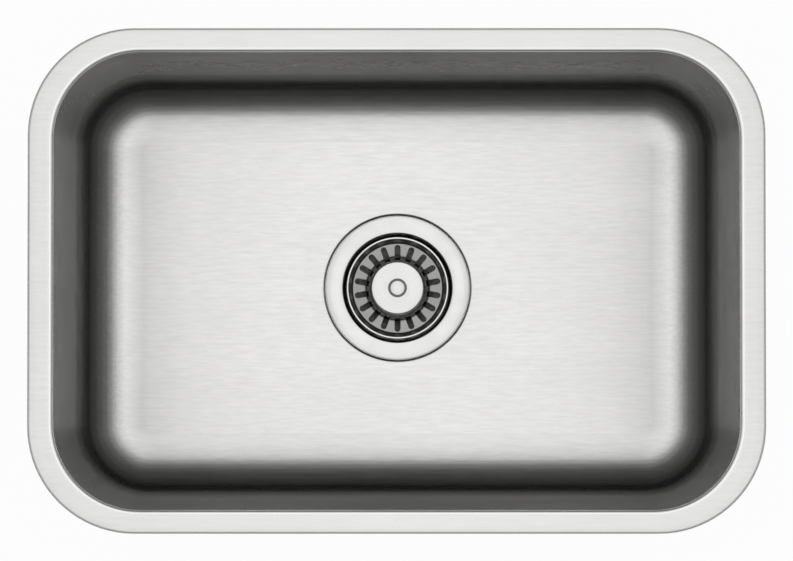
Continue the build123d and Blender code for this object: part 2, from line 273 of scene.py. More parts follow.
def pressed(points, radii, thickness, edge):
    """Closed section of a pressed sheet: a line whose bends have radii, thickened to its left,
    with rounded cut edges."""
    bends = []
    for before, corner, after, radius in zip(points, points[1:], points[2:], radii):
        arriving = Vector(corner) - Vector(before)
        leaving = Vector(after) - Vector(corner)
        turns_left = arriving.x * leaving.y - arriving.y * leaving.x > 0
        bends.append(max(radius - thickness, edge) if turns_left else radius + thickness)
    other_side = offset_line(points, thickness)
    loop = list(points) + other_side[::-1]
    return rounded_loop(loop, [edge, *radii, edge, edge, *bends[::-1], edge])


def new_object(name, vertices, faces, material_indices=None):
    """A smooth object from its vertices and faces, linked to the scene."""
    mesh = bpy.data.meshes.new(name)
    mesh.from_pydata([tuple(v) for v in vertices], [], faces)
    if material_indices:
        mesh.polygons.foreach_set("material_index", material_indices)
    mesh.polygons.foreach_set("use_smooth", [True] * len(mesh.polygons))
    mesh.validate()
    mesh.update()
    piece = bpy.data.objects.new(name, mesh)
    bpy.context.scene.collection.objects.link(piece)
    return piece


def clean_mesh(piece, weld=None, material_of=None):
    """Joins the points of a closed mesh that lie nearer to each other than the weld distance,
    and turns its faces outwards. The material of a face can follow from its middle."""
    work = bmesh.new()
    work.from_mesh(piece.data)
    if weld:
        bmesh.ops.remove_doubles(work, verts=work.verts, dist=weld)
    bmesh.ops.recalc_face_normals(work, faces=work.faces)
    if material_of:
        for face in work.faces:
            face.material_index = material_of(face.calc_center_median())
    work.to_mesh(piece.data)
    work.free()
    piece.data.update()


def turned(name, profile, steps=TURNED_STEPS, material_of=None):
    """A solid turned about the Z axis from a closed profile of (radius, height) points. The
    material of each segment can follow from the radius and height of its middle."""
    vertices, faces, indices = [], [], []
    count = len(profile)
    for i in range(steps):
        angle = 2 * math.pi * i / steps
        for radius, height in profile:
            vertices.append((radius * math.cos(angle), radius * math.sin(angle), height))
    for i in range(steps):
        after = (i + 1) % steps
        for j in range(count):
            k = (j + 1) % count
            faces.append((i * count + j, after * count + j, after * count + k, i * count + k))
            middle = (Vector(profile[j]) + Vector(profile[k])) / 2
            indices.append(material_of(*middle) if material_of else 0)
    piece = new_object(name, vertices, faces, indices)
    clean_mesh(piece, TURNED_WELD)
    return piece


def soften(piece, angle=SHARP):
    """Smooth shading that keeps the edges sharper than an angle."""
    bpy.context.view_layer.objects.active = piece
    piece.select_set(True)
    bpy.ops.object.shade_smooth_by_angle(angle=math.radians(angle))
    piece.select_set(False)


def bevel(piece, width, segments):
    """Rounds the sharp edges."""
    modifier = piece.modifiers.new("bevel", "BEVEL")
    modifier.width = width
    modifier.segments = segments
    modifier.limit_method = "ANGLE"
    modifier.angle_limit = math.radians(SHARP)
    graph = bpy.context.evaluated_depsgraph_get()
    mesh = bpy.data.meshes.new_from_object(piece.evaluated_get(graph))
    piece.modifiers.clear()
    piece.data = mesh


# -------------------------------- materials
# the range in which most of a noise lies
NOISE_RANGE = (0.3, 0.7)

# how far a seed moves a noise along each axis
SEED_STEPS = (1.0, 0.7, 1.3)

# how far the colour of brushed steel drifts over its surface
DRIFT = 0.015

# the scale of the broad streaks of brushed steel as a share of the fine ones' scale, and the
# shares that both have in its roughness
BROAD_STRETCH = 0.12
FINE_SHARE = 0.6
BROAD_SHARE = 0.4

# how far the roughness of brushed steel and of dull surfaces drifts
BRUSH_SPREAD = 0.04
MATT_SPREAD = 0.06

# heights that the bumps of the metals stand for
BRUSH_HEIGHT = 0.04 * MM
RING_HEIGHT = 0.02 * MM

# keeps a share of nothing from being divided by nothing
TINY = 0.0001


class NodeTree:
    """A small helper that adds and links the nodes of a material or a world."""

    def __init__(self, owner):
        owner.use_nodes = True
        self.tree = owner.node_tree
        self.tree.nodes.clear()

    def give(self, node, inputs):
        """Gives inputs of a node a constant, or links them to another node's output."""
        for key, value in inputs.items():
            if isinstance(value, bpy.types.NodeSocket):
                self.tree.links.new(value, node.inputs[key])
            else:
                node.inputs[key].default_value = value

    def add(self, kind, inputs=None, **settings):
        """A new node with its settings and inputs."""
        node = self.tree.nodes.new(kind)
        for key, value in settings.items():
            setattr(node, key, value)
        self.give(node, inputs or {})
        return node

    def split(self, vector):
        """The outputs with the three parts of a vector."""
        return self.add("ShaderNodeSeparateXYZ", {0: vector}).outputs

    def ramp(self, place, stops):
        """A grey value that eases from stop to stop, each a position and a value."""
        node = self.add("ShaderNodeValToRGB", {0: place})
        node.color_ramp.interpolation = "EASE"
        elements = node.color_ramp.elements
        while len(elements) < len(stops):
            elements.new(0.5)
        for element, (position, value) in zip(elements, stops):
            element.position = position
            element.color = (value, value, value, 1.0)
        return node.outputs[0]

    def mix(self, factor, first, second):
        """Mixes two colours by a factor."""
        inputs = {0: factor, 6: first, 7: second}
        return self.add("ShaderNodeMix", inputs, data_type="RGBA").outputs[2]


class Shader(NodeTree):
    """The nodes of one material around its principled shader."""

    def __init__(self, name):
        self.material = bpy.data.materials.new(name)
        super().__init__(self.material)
        self.principled = self.add("ShaderNodeBsdfPrincipled")
        self.output = self.add("ShaderNodeOutputMaterial", {0: self.principled.outputs[0]})
        self.place = self.add("ShaderNodeTexCoord").outputs["Object"]

    def set(self, **inputs):
        """Gives inputs of the principled shader constants or links."""
        self.give(self.principled, {key.replace("_", " "): inputs[key] for key in inputs})

    def noise(self, scale, detail=3.0, roughness=0.5, stretch=(1, 1, 1), vector=None, seed=0.0):
        """A noise over the piece, or over another vector."""
        offset = [seed * step for step in SEED_STEPS]
        inputs = {"Vector": vector or self.place, "Location": offset, "Scale": stretch}
        moved = self.add("ShaderNodeMapping", inputs).outputs[0]
        inputs = {"Vector": moved, "Scale": scale, "Detail": detail, "Roughness": roughness}
        return self.add("ShaderNodeTexNoise", inputs).outputs["Fac"]

    def math(self, operation, *values):
        """A sum or the like of values, each a number or an output."""
        return self.add("ShaderNodeMath", dict(enumerate(values)), operation=operation).outputs[0]

    def remap(self, value, *ends):
        """A value moved from one range to another, given by their four ends."""
        names = ("Value", "From Min", "From Max", "To Min", "To Max")
        inputs = dict(zip(names, (value, *ends)))
        return self.add("ShaderNodeMapRange", inputs, clamp=True).outputs[0]

    def spread(self, noise, low, high):
        """A noise stretched over a range."""
        return self.remap(noise, *NOISE_RANGE, low, high)

    def scaled(self, colour, factor):
        """A colour times a factor."""
        inputs = {0: colour, "Scale": factor}
        return self.add("ShaderNodeVectorMath", inputs, operation="SCALE").outputs[0]

    def tint(self, colour, amount, noise):
        """A colour made lighter and darker by an amount, following a noise."""
        return self.scaled(colour, self.spread(noise, 1 - amount, 1 + amount))

    def by_place(self, painted_shading, axis=2):
        """The share of the colour at each place, from painted shading, which is pairs of a place
        and a
        share: painted light and shade. The place is the height, or the distance from the middle
        along another axis."""
        place = self.split(self.place)[axis]
        if axis != 2:
            place = self.math("ABSOLUTE", place)
        low, high = painted_shading[0][0], painted_shading[-1][0]
        stops = [((where - low) / (high - low), share) for where, share in painted_shading]
        return self.ramp(self.remap(place, low, high, 0.0, 1.0), stops)

    def faces_x(self):
        """How far an upright or sloping surface faces the X direction rather than Y."""
        normal = self.split(self.add("ShaderNodeTexCoord").outputs["Normal"])
        x_part, y_part = (
            self.math("POWER", self.math("ABSOLUTE", part), 2.0) for part in normal[:2]
        )
        both = self.math("ADD", self.math("ADD", x_part, y_part), TINY)
        return self.math("DIVIDE", x_part, both)

    def bump(self, height, strength, distance, normal=None):
        """The normal of a surface roughened by a height."""
        inputs = {"Height": height, "Strength": strength, "Distance": distance}
        if normal is not None:
            inputs["Normal"] = normal
        return self.add("ShaderNodeBump", inputs).outputs[0]


def brushed(
    name, colour, roughness, streaks=0.03, grain=(40, 380, 380), depth=0.12,
    anisotropic=0.8, painted_shading=None, end_painted_shade=None, glancing=1.0,
):
    """Stainless steel with a fine brushed grain along X. The painted shading is two lists of
    pairs of a height and the share of the colour painted there as light and shade, for what faces
    Y and for what faces X. The end painted shade is pairs of a distance from the middle along X
    and such a share, painted as shade. The glancing value is the share of the light that it
    reflects at a low angle."""
    shader = Shader(name)
    fine = shader.noise(1.0, 2.0, 0.6, stretch=grain)
    broad_grain = [length * BROAD_STRETCH for length in grain]
    broad = shader.noise(1.0, 3.0, 0.5, stretch=broad_grain, seed=3.1)
    cloud = shader.noise(9.0, 2.0, 0.5, seed=7.7)
    fine_part = shader.math("MULTIPLY", fine, FINE_SHARE)
    broad_part = shader.math("MULTIPLY", broad, BROAD_SHARE)
    both = shader.math("ADD", fine_part, broad_part)
    tone = shader.tint(colour, streaks, fine)
    for drift in (broad, cloud):
        tone = shader.tint(tone, DRIFT, drift)
    # painted light and shade by height, mixed by which way the surface faces
    if painted_shading:
        painted_shading_y, painted_shading_x = (shader.by_place(pairs) for pairs in painted_shading)
        tone = shader.scaled(tone, shader.mix(shader.faces_x(), painted_shading_y, painted_shading_x))
    # painted shade by the distance from the middle along X
    if end_painted_shade:
        tone = shader.scaled(tone, shader.by_place(end_painted_shade, 0))
    shader.set(
        Base_Color=tone,
        Metallic=1.0,
        Roughness=shader.spread(both, roughness - BRUSH_SPREAD, roughness + BRUSH_SPREAD),
        Normal=shader.bump(fine, depth, BRUSH_HEIGHT),
        Specular_Tint=(glancing, glancing, glancing, 1.0),
        Anisotropic=anisotropic,
        Tangent=shader.add("ShaderNodeCombineXYZ", {0: 1.0}).outputs[0],
    )
    return shader.material


def turned_metal(
    name, colour, roughness, anisotropic=0.5, streaks=0.04, depth=0.1, pitch=2600.0,
    painted_shading=None, glancing=1.0,
):
    """Metal turned or spun about the Z axis, with fine rings around it. The painted shading is
    pairs of a height and the share of the colour there, painted as shade. The glancing value is
    the share of the light that it reflects at a low angle."""
    shader = Shader(name)
    parts = shader.split(shader.place)
    x_square, y_square = (shader.math("MULTIPLY", part, part) for part in parts[:2])
    radius = shader.math("SQRT", shader.math("ADD", x_square, y_square))
    section = shader.add("ShaderNodeCombineXYZ", {0: radius, 1: parts[2]}).outputs[0]
    rings = shader.noise(pitch, 2.0, 0.5, vector=section)
    cloud = shader.noise(60.0, 2.0, 0.5, seed=1.9)
    tone = shader.tint(shader.tint(colour, streaks, rings), streaks, cloud)
    # painted shade by height
    if painted_shading:
        tone = shader.scaled(tone, shader.by_place(painted_shading))
    around = shader.add("ShaderNodeTangent", direction_type="RADIAL", axis="Z").outputs[0]
    shader.set(
        Base_Color=tone,
        Metallic=1.0,
        Roughness=shader.spread(rings, roughness * 0.8, roughness * 1.25),
        Normal=shader.bump(rings, depth, RING_HEIGHT),
        Specular_Tint=(glancing, glancing, glancing, 1.0),
        Anisotropic=anisotropic,
        Tangent=around,
    )
    return shader.material


def matt(name, colour, roughness, grain, depth, variation, height):
    """A dull moulded surface with a fine grain, whose bumps stand for a height."""
    shader = Shader(name)
    fine = shader.noise(grain, 4.0, 0.6)
    cloud = shader.noise(25.0, 3.0, 0.5, seed=5.3)
    tone = shader.tint(colour, variation, fine)
    shader.set(
        Base_Color=shader.tint(tone, variation * 0.7, cloud),
        Roughness=shader.spread(fine, roughness - MATT_SPREAD, roughness + MATT_SPREAD),
        Normal=shader.bump(fine, depth, height),
    )
    return shader.material


def sprayed(name, colour):
    """The thick sprayed coat on the outside of the bowl, with its pimply skin."""
    shader = Shader(name)
    inputs = {"Vector": shader.place, "Scale": 620.0}
    cells = shader.add("ShaderNodeTexVoronoi", inputs, feature="SMOOTH_F1").outputs["Distance"]
    fine = shader.noise(1500.0, 3.0, 0.6)
    cloud = shader.noise(14.0, 3.0, 0.55, seed=2.2)
    pimples = shader.bump(cells, 0.5, 0.4 * MM)
    shader.set(
        Base_Color=shader.tint(shader.tint(colour, 0.10, cells), 0.08, cloud),
        Roughness=shader.spread(fine, 0.62, 0.8),
        Normal=shader.bump(fine, 0.25, 0.15 * MM, pimples),
    )
    return shader.material


def painted_shading_of(*pairs):
    """Painted light and shade from pairs of a place in millimetres and a share of the colour."""
    return [(place * MM, share) for place, share in pairs]


# painted shade on the walls: the bend between a wall and the floor is painted darkest a little
# above its middle
LONG_WALL_PAINTED_SHADE = painted_shading_of(
    (-188, 0.93), (-183.5, 1.0), (-182, 0.75), (-180, 0.50), (-177, 0.35), (-173, 0.27),
    (-168, 0.17), (-161, 0.12), (-154, 0.19), (-146, 0.35), (-125, 0.65), (-95, 0.95), (-3, 1.0),
)
# painted shade on the end walls, darker than on the long walls, with a painted highlight in the
# bend just above the floor
END_WALL_PAINTED_SHADE_AND_HIGHLIGHT = painted_shading_of(
    (-188, 0.83), (-187.6, 0.86), (-186.8, 0.98), (-185.5, 1.09), (-183.5, 1.02), (-182, 0.85),
    (-180, 0.60), (-177, 0.38), (-173, 0.25), (-168, 0.15), (-159, 0.11), (-153, 0.19),
    (-146, 0.28), (-125, 0.42), (-95, 0.64), (-3, 0.76),
)

# painted shade: the floor is painted a little darker along its two ends
FLOOR_END_PAINTED_SHADE = painted_shading_of((165, 1.0), (186, 0.97), (194, 0.95), (199.5, 0.90))

# painted shade: the strainer body is painted darker down in its cup
CUP_PAINTED_SHADE = painted_shading_of((-262, 0.72), (-206, 0.72), (-196, 1.0), (-190, 1.0))

# painted shade: the basket's slotted cone is painted darker than its wall and well, and the well
# darker than the wall
BASKET_PAINTED_SHADE = painted_shading_of(
    (-236, 0.75), (-209, 0.75), (-207, 0.43), (-203.4, 0.43), (-202, 1.0), (-194.5, 1.0)
)

BOWL_COLOUR = (0.84, 0.837, 0.826)
BOWL_GRAIN = (55, 420, 420)
BASKET_COLOUR = (0.78, 0.776, 0.765)
WALL_PAINTED_SHADING = (LONG_WALL_PAINTED_SHADE, END_WALL_PAINTED_SHADE_AND_HIGHLIGHT)

# painted shade: the floor's steel is painted darker along its two ends
FLOOR_STEEL_PAINTED_END_SHADE = brushed(
    "floor_brushed_steel_painted_end_shade", BOWL_COLOUR, 0.40,
    streaks=0.085, grain=BOWL_GRAIN, end_painted_shade=FLOOR_END_PAINTED_SHADE,
)
# painted shade: the walls' steel is painted darker by height, darkest low on the walls
WALL_STEEL_PAINTED_SHADE = brushed(
    "wall_brushed_steel_painted_shade", BOWL_COLOUR, 0.42,
    anisotropic=0.35, depth=0.05, painted_shading=WALL_PAINTED_SHADING, glancing=0.0,
)
# painted shade and light: the bend's steel is painted darkest above its middle, with a painted
# highlight at the end walls' foot
BEND_STEEL_PAINTED_LIGHT_AND_SHADE = brushed(
    "bend_brushed_steel_painted_light_and_shade", BOWL_COLOUR, 0.42,
    streaks=0.075, grain=BOWL_GRAIN, depth=0.06, anisotropic=0.35, painted_shading=WALL_PAINTED_SHADING, glancing=0.0,
)
FLANGE_STEEL = brushed(
    "flange_brushed_steel", (0.68, 0.678, 0.669), 0.27,
    streaks=0.045, grain=(30, 330, 330), depth=0.03, anisotropic=0.7,
)
# the dull steel of the sheet's underside and cut edges; on the lip's bend it is also painted
# shade, for the dark line around the flange
MILL_STEEL_AND_LIP_SHADE = brushed("mill_steel_and_painted_lip_shade", (0.54, 0.54, 0.532), 0.34, streaks=0.05)
# painted highlight: the rim's bend is a lighter steel than the flange, for the bright line around
# the opening
RIM_PAINTED_HIGHLIGHT = brushed("rim_bend_painted_highlight", (0.87, 0.868, 0.86), 0.3, streaks=0.01, depth=0.05)
COAT = sprayed("sound_coat", (0.30, 0.305, 0.31))
# painted shade: the strainer body's steel is painted darker down in its cup
CUP_STEEL_PAINTED_SHADE = turned_metal("strainer_spun_steel_painted_shade", (0.63, 0.628, 0.62), 0.20, painted_shading=CUP_PAINTED_SHADE)
BASKET_STEEL = turned_metal("basket_spun_steel", BASKET_COLOUR, 0.24)
# painted shade: the basket's sheet and well steels are painted darker on the cone and in the well
BASKET_SHEET_STEEL_PAINTED_SHADE = turned_metal(
    "basket_sheet_steel_painted_shade", BASKET_COLOUR, 0.24, painted_shading=BASKET_PAINTED_SHADE, glancing=0.0
)
BASKET_WELL_STEEL_PAINTED_SHADE = turned_metal("basket_well_steel_painted_shade", BASKET_COLOUR, 0.30, painted_shading=BASKET_PAINTED_SHADE)
KNOB_STEEL = turned_metal("knob_turned_steel", (0.65, 0.648, 0.64), 0.24, streaks=0.025)
# painted shade: a dark steel that stands for the shade down in the groove around the rivet
GROOVE_PAINTED_SHADE = turned_metal("knob_groove_painted_shade", (0.17, 0.169, 0.166), 0.4, streaks=0.06)
BEAD_STEEL = turned_metal("bead_polished_steel", (0.80, 0.798, 0.79), 0.16, streaks=0.02)
BRASS = turned_metal(
    "nut_cast_brass", (0.72, 0.56, 0.28), 0.34,
    anisotropic=0.2, streaks=0.08, depth=0.2, pitch=900.0,
)
CHROME = turned_metal(
    "tube_chrome", (0.55, 0.556, 0.56), 0.10, anisotropic=0.1, streaks=0.01, depth=0.02
)
RUBBER = matt(
    "seal_rubber_black", (0.035, 0.035, 0.037), 0.58,
    grain=1400.0, depth=0.25, variation=0.12, height=0.1 * MM,
)
PAD_RUBBER = matt(
    "pad_rubber_grey", (0.085, 0.088, 0.092), 0.72,
    grain=800.0, depth=0.5, variation=0.10, height=0.3 * MM,
)
FIBRE = matt(
    "slip_ring_plastic", (0.70, 0.68, 0.60), 0.46,
    grain=600.0, depth=0.15, variation=0.05, height=0.1 * MM,
)


# -------------------------------- sink bowl
def opening_ring(outset, height):
    """A ring of points that follows the bowl's opening, at an outset from it."""
    half_x = OPENING_X + outset
    half_y = OPENING_Y + outset
    corner = OPENING_CORNER + outset
    if outset > 0:
        # the border is narrower at the front and back, and its corners grow by less than it
        share = outset / BORDER_X
        half_y = OPENING_Y + share * BORDER_Y
        corner = OPENING_CORNER + share * BORDER_CORNER
    centres = [
        Vector((sign_x * (half_x - corner), sign_y * (half_y - corner)))
        for sign_x, sign_y in ((1, 1), (-1, 1), (-1, -1), (1, -1))
    ]
    ring = []
    for quarter, centre in enumerate(centres):
        start = quarter * math.pi / 2
        for i in range(CORNER_STEPS + 1):
            angle = start + math.pi / 2 * i / CORNER_STEPS
            point = centre + corner * Vector((math.cos(angle), math.sin(angle)))
            ring.append((point.x, point.y, height))
        turn = start + math.pi / 2
        side = corner * Vector((math.cos(turn), math.sin(turn)))
        following = centres[(quarter + 1) % 4]
        steps = LONG_STEPS if quarter % 2 == 0 else SHORT_STEPS
        for i in range(1, steps):
            point = (centre + side).lerp(following + side, i / steps)
            ring.append((point.x, point.y, height))
    return ring


def floor_height(x, y):
    """Height of the bowl's floor: level at its edges, falling softly towards the drain."""
    share = (DISH_REACH - math.hypot(x, y)) / (DISH_REACH - SHOULDER_RADIUS)
    share = min(max(share, 0.0), 1.0)
    return FLOOR_Z - DISH_FALL * (share**DISH_CURVE)


def bowl_rings(growth):
    """Rings of one side of the sheet, from the flange's lip to the drain hole, with the
    name of the stretch that each ring starts. The growth is 0 inside and a sheet outside."""
    rings, names = [], []

    def stretch(name, outset_points):
        """Rings at some outsets from the opening and heights, as a stretch of a name."""
        for outset, height in outset_points:
            rings.append(opening_ring(outset, height))
            names.append(name)

    lip = BORDER_X - LIP_BEND
    stretch("lip", [(BORDER_X - growth, -LIP_DROP)])
    stretch("lip", arc((lip, -LIP_BEND), LIP_BEND - growth, 0, 90, LIP_STEPS)[:-1])
    stretch("flange", [(lip * share, -growth) for share in (1.0, *FLANGE_SHARES)])
    rim_centre = ((RIM_BEND - RIM_BEND * math.sin(DRAFT)) / math.cos(DRAFT), -RIM_BEND)
    rim_end = 180 - math.degrees(DRAFT)
    rim = arc(rim_centre, RIM_BEND - growth, 90, rim_end, RIM_STEPS)
    stretch("rim", rim[:-1])
    stretch("wall", rim[-1:])
    wall_top = rim[-1][1]
    bend_z = FLOOR_Z + FLOOR_BEND
    bend_centre = ((-FLOOR_BEND + bend_z * math.sin(DRAFT)) / math.cos(DRAFT), bend_z)
    bend = arc(bend_centre, FLOOR_BEND + growth, -math.degrees(DRAFT), -90, BEND_STEPS)
    for share in WALL_SHARES:
        height = wall_top + (bend[0][1] - wall_top) * share
        stretch("wall", [(height * math.tan(DRAFT) + growth / math.cos(DRAFT), height)])
    stretch("bend", bend[:-1])

    # the floor changes from the opening's shape to the drain's round shoulder
    edge = [(x, y) for x, y, _ in opening_ring(bend[-1][0], FLOOR_Z - growth)]
    angles = [math.atan2(y, x) for x, y in edge]
    for i in range(FLOOR_STEPS):
        ring = []
        for (x, y), angle in zip(edge, angles):
            round_x = (SHOULDER_RADIUS + RECESS_BEND) * math.cos(angle)
            round_y = (SHOULDER_RADIUS + RECESS_BEND) * math.sin(angle)
            x += (round_x - x) * (i / FLOOR_STEPS)
            y += (round_y - y) * (i / FLOOR_STEPS)
            ring.append((x, y, floor_height(x, y) - growth))
        rings.append(ring)
        names.append("floor")

    side = growth * (1 / math.cos(RECESS_SLOPE) - math.tan(RECESS_SLOPE))
    recess_top = FLOOR_Z - DISH_FALL - growth
    recess_foot = recess_top - RECESS_DEPTH
    recess = rounded(
        [
            (SHOULDER_RADIUS + RECESS_LEAD, recess_top),
            (SHOULDER_RADIUS + side, recess_top),
            (RECESS_RADIUS + side, recess_foot),
            (HOLE_RADIUS, recess_foot),
        ],
        [RECESS_BEND, RECESS_FOOT_BEND],
        RECESS_STEPS,
    )
    for radius, height in recess[1:]:
        rings.append([(radius * math.cos(a), radius * math.sin(a), height) for a in angles])
        names.append("recess")
    return rings, names


def build_bowl():
    """The bowl's sheet as one closed mesh, with the steel of each stretch on its inside and
    the coat on the outside of its walls and floor."""
    inside, inside_names = bowl_rings(0.0)
    outside, outside_names = bowl_rings(SHEET)
    steels = [FLOOR_STEEL_PAINTED_END_SHADE, FLANGE_STEEL, MILL_STEEL_AND_LIP_SHADE, RIM_PAINTED_HIGHLIGHT, COAT, WALL_STEEL_PAINTED_SHADE, BEND_STEEL_PAINTED_LIGHT_AND_SHADE]
    # what each stretch is made of, inside and outside; these steels carry painted shade on the
    # lip, walls, bend and floor and a painted highlight on the rim
    stretches = {
        "lip": (MILL_STEEL_AND_LIP_SHADE, MILL_STEEL_AND_LIP_SHADE),
        "flange": (FLANGE_STEEL, MILL_STEEL_AND_LIP_SHADE),
        "rim": (RIM_PAINTED_HIGHLIGHT, MILL_STEEL_AND_LIP_SHADE),
        "wall": (WALL_STEEL_PAINTED_SHADE, COAT),
        "bend": (BEND_STEEL_PAINTED_LIGHT_AND_SHADE, COAT),
        "floor": (FLOOR_STEEL_PAINTED_END_SHADE, COAT),
        "recess": (FLOOR_STEEL_PAINTED_END_SHADE, MILL_STEEL_AND_LIP_SHADE),
    }
    rings = inside + outside[::-1]
    # going back over the outside, a band belongs to the ring that it ends at
    bands = [stretches[name][0] for name in inside_names]
    bands += [stretches[name][1] for name in outside_names[-2::-1]]
    bands.append(MILL_STEEL_AND_LIP_SHADE)
    size = len(rings[0])
    vertices = [point for ring in rings for point in ring]
    faces, indices = [], []
    for i, steel in enumerate(bands):
        after = (i + 1) % len(rings)
        for j in range(size):
            k = (j + 1) % size
            faces.append((i * size + j, i * size + k, after * size + k, after * size + j))
            indices.append(steels.index(steel))
    bowl = new_object("sink_bowl_sheet", vertices, faces, indices)
    for steel in steels:
        bowl.data.materials.append(steel)
    clean_mesh(bowl)
    soften(bowl, 40.0)
    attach(bowl, "sink")
    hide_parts("sink_bowl")


# -------------------------------- pieces in the place of nodes
def span(node):
    """Outer radius, foot and top of a node that is round about the Z axis."""
    low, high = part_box(node)
    return high.x, low.z, high.z


def dress(piece, node, body, slot, *materials, angle=SHARP):
    """Puts a piece in the place of a CAD node, and shades its edges below an angle smooth."""
    soften(piece, angle)
    for material in materials:
        piece.data.materials.append(material)
    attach(piece, body)
    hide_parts(node)


def ring(node, body, slot, material, bore, edge):
    """A plain ring with rounded edges."""
    radius, foot, top = span(node)
    outline = [(bore, top), (bore, foot), (radius, foot), (radius, top)]
    piece = turned(node + "_rounded", rounded_loop(outline, edge))
    dress(piece, node, body, slot, material)


def softened(node, body, slot, material, width, segments=3):
    """A copy of a CAD node with its edges rounded."""
    piece = new_object(node + "_rounded", [], [])
    work = bmesh.new()
    work.from_mesh(nodes[node].data)
    work.transform(nodes[node].matrix_world)
    bmesh.ops.remove_doubles(work, verts=work.verts, dist=CAD_WELD)
    bmesh.ops.dissolve_limit(work, angle_limit=FLAT, verts=work.verts, edges=work.edges)
    bmesh.ops.recalc_face_normals(work, faces=work.faces)
    for face in work.faces:
        face.smooth = True
    work.to_mesh(piece.data)
    work.free()
    bevel(piece, width, segments)
    dress(piece, node, body, slot, material)


def thread(name, radius, foot, top, pitch, height):
    """A thread's helical ridge on the outside of the strainer body; it runs out at its ends."""
    steps = round((top - foot) / pitch * THREAD_STEPS)
    vertices, faces = [], []
    for i in range(steps + 1):
        angle = 2 * math.pi * i / THREAD_STEPS
        ends = (THREAD_RUN_OUT * i / THREAD_STEPS, THREAD_RUN_OUT * (steps - i) / THREAD_STEPS)
        crest = height * min(1.0, *ends)
        middle = foot + (top - foot) * i / steps
        for out, rise in (
            (-THREAD_ROOT, -THREAD_FOOT),
            (crest, -THREAD_CREST),
            (crest, THREAD_CREST),
            (-THREAD_ROOT, THREAD_FOOT),
        ):
            r = radius + out
            vertices.append((r * math.cos(angle), r * math.sin(angle), middle + rise * pitch))
    for i in range(steps):
        for j in range(4):
            k = (j + 1) % 4
            faces.append((4 * i + j, 4 * i + k, 4 * i + 4 + k, 4 * i + 4 + j))
    faces += [(3, 2, 1, 0), tuple(4 * steps + j for j in range(4))]
    piece = new_object(name, vertices, faces)
    clean_mesh(piece)
    dress(piece, "strainer_body", "sink", "strainer_steel", CUP_STEEL_PAINTED_SHADE, angle=25.0)


# -------------------------------- strainer body
def build_strainer():
    """The spun cup with its flange, the thicker collar of its outlet and both threads."""
    flange_radius, outlet_end, top = span("strainer_body")
    thread_radius = OUTLET_RADIUS + OUTLET_WALL
    line = [
        (flange_radius, top),
        (CUP_RADIUS, top),
        (CUP_RADIUS, top - CUP_DEPTH),
        (SEAT_RADIUS, top - CUP_DEPTH - SHOULDER_FALL),
        (OUTLET_RADIUS, top - CUP_DEPTH - SHOULDER_FALL - SEAT_FALL),
        (OUTLET_RADIUS, outlet_end),
    ]
    section = pressed(line, STRAINER_BENDS, SHEET, STRAINER_EDGE)
    body = turned("strainer_body_spun", section, WIDE_STEPS)
    dress(body, "strainer_body", "sink", "strainer_steel", CUP_STEEL_PAINTED_SHADE)
    collar_top = line[4][1] - CROSS_DROP
    outline = [
        (OUTLET_RADIUS + COLLAR_INSET, collar_top),
        (OUTLET_RADIUS + COLLAR_INSET, outlet_end),
        (thread_radius, outlet_end),
        (thread_radius, collar_top),
    ]
    collar = turned("strainer_outlet_collar", rounded_loop(outline, COLLAR_EDGE))
    dress(collar, "strainer_body", "sink", "strainer_steel", CUP_STEEL_PAINTED_SHADE)
    ends = (outlet_end + OUTLET_THREAD_FOOT, collar_top - OUTLET_THREAD_TOP)
    thread("strainer_outlet_thread", thread_radius, *ends, *OUTLET_THREAD)
    nut_foot = span("lock_nut")[1]
    ends = (nut_foot - CUP_THREAD_BELOW, nut_foot + CUP_THREAD_ABOVE)
    thread("strainer_cup_thread", CUP_RADIUS + SHEET, *ends, *CUP_THREAD)


# -------------------------------- basket
class Curve:
    """A profile line that is read by its length, with its normal on its right."""

    def __init__(self, points):
        self.points = [Vector(point) for point in points]
        self.lengths = [0.0]
        for first, second in zip(self.points, self.points[1:]):
            self.lengths.append(self.lengths[-1] + (second - first).length)

    def at(self, length):
        """Point and normal at a length along the line."""
        last = len(self.points) - 2
        i = min(max(bisect.bisect_right(self.lengths, length) - 1, 0), last)
        run = self.lengths[i + 1] - self.lengths[i]
        share = (length - self.lengths[i]) / run
        normals = []
        for j in (i, i + 1):
            before, after = max(j - 1, 0), min(j + 1, last + 1)
            along = (self.points[after] - self.points[before]).normalized()
            normals.append(Vector((along.y, -along.x)))
        return (
            self.points[i].lerp(self.points[i + 1], share),
            normals[0].lerp(normals[1], share).normalized(),
        )

    def length_at(self, axis, value):
        """Length at which the line, as it falls along an axis, passes a value."""
        for i, (first, second) in enumerate(zip(self.points, self.points[1:])):
            if second[axis] < value <= first[axis]:
                share = (first[axis] - value) / (first[axis] - second[axis])
                return self.lengths[i] + share * (self.lengths[i + 1] - self.lengths[i])
        raise ValueError("the line doesn't pass this value")


def slot_rows(curve, start, end):
    """Rows of the basket's sheet along its profile. Each has the length along the profile and
    half the width of the slot there, first on the sheet's faces and then on the slot's wall,
    whose edges are softened. Rows without a slot have no width."""
    half, soft = SLOT_WIDTH / 2, SLOT_EDGE
    first, last = start + half, end - half

    def tip_row(middle, way, angle):
        """A row across a slot's round end, at an angle on it."""
        return tuple(
            (middle + way * reach * math.cos(angle), reach * math.sin(angle))
            for reach in (half + soft, half)
        )

    tip = [math.pi / 2 * i / SLOT_TIP_STEPS for i in range(SLOT_TIP_STEPS + 1)]
    rows = [((length, 0.0), None) for length in curve.lengths if length < start - SLOT_CLEAR]
    rows += [tip_row(first, -1, angle) for angle in tip]
    for length in curve.lengths:
        if first < length < last:
            rows.append(((length, half + soft), (length, half)))
    rows += [tip_row(last, 1, angle) for angle in tip[::-1]]
    rows += [((length, 0.0), None) for length in curve.lengths if length > end + SLOT_CLEAR]
    return rows


